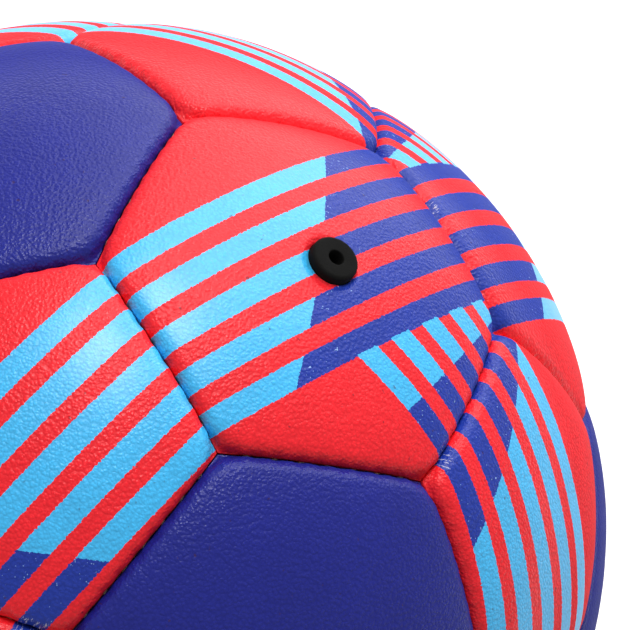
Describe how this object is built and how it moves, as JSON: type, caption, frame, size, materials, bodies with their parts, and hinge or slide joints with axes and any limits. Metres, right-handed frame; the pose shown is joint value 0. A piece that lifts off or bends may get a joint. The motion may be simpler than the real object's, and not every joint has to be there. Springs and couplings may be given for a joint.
{
  "type": "handball",
  "caption": "Hand-stitched handball of turned-edge leather panels over cloth linings and a bladder, red and indigo with printed stripes, with a push-in rubber needle valve.",
  "frame": {"origin": "centre of the ball", "axes": "+Z out through the valve along the needle's way, +X towards the pentagon panel beside the valve panel that lies top right of the valve in the picture"},
  "size_m": [0.1874, 0.1866, 0.1894],
  "materials": {
    "striped_cover": "satin grained polyurethane leather, red with light blue and indigo stripes",
    "plain_cover": "satin grained polyurethane leather, plain indigo",
    "lining": "foam backed with woven cloth",
    "patch_cloth": "woven cloth, glued",
    "thread": "waxed polyester",
    "latex": "smooth natural latex",
    "valve_rubber": "matt moulded black rubber"
  },
  "bodies": {
    "ball": {"valve_panel": "striped_cover", "striped_hexagon_01": "striped_cover", "striped_hexagon_02": "striped_cover", "striped_hexagon_03": "striped_cover", "striped_hexagon_04": "striped_cover", "striped_hexagon_05": "striped_cover", "striped_hexagon_06": "striped_cover", "striped_hexagon_07": "striped_cover", "striped_hexagon_08": "striped_cover", "striped_hexagon_09": "striped_cover", "striped_hexagon_10": "striped_cover", "striped_hexagon_11": "striped_cover", "striped_pentagon_01": "striped_cover", "striped_pentagon_02": "striped_cover", "striped_pentagon_03": "striped_cover", "striped_pentagon_04": "striped_cover", "striped_pentagon_05": "striped_cover", "striped_pentagon_06": "striped_cover", "striped_pentagon_07": "striped_cover", "striped_pentagon_08": "striped_cover", "striped_pentagon_09": "striped_cover", "striped_pentagon_10": "striped_cover", "striped_pentagon_11": "striped_cover", "striped_pentagon_12": "striped_cover", "indigo_hexagon_1": "plain_cover", "indigo_hexagon_2": "plain_cover", "indigo_hexagon_3": "plain_cover", "indigo_hexagon_4": "plain_cover", "indigo_hexagon_5": "plain_cover", "indigo_hexagon_6": "plain_cover", "indigo_hexagon_7": "plain_cover", "indigo_hexagon_8": "plain_cover", "hexagon_linings": "lining", "pentagon_linings": "lining", "valve_lining": "lining", "valve_patch": "patch_cloth", "seam_thread": "thread", "bladder": "latex", "valve_neck": "valve_rubber"},
    "plug": {"valve_plug": "valve_rubber"}
  },
  "joints": [
    {"name": "valve_plug_pull", "type": "slide", "parent": "ball", "child": "plug", "axis": [0, 0, 1], "range_m": [0, 0.022]}
  ]
}
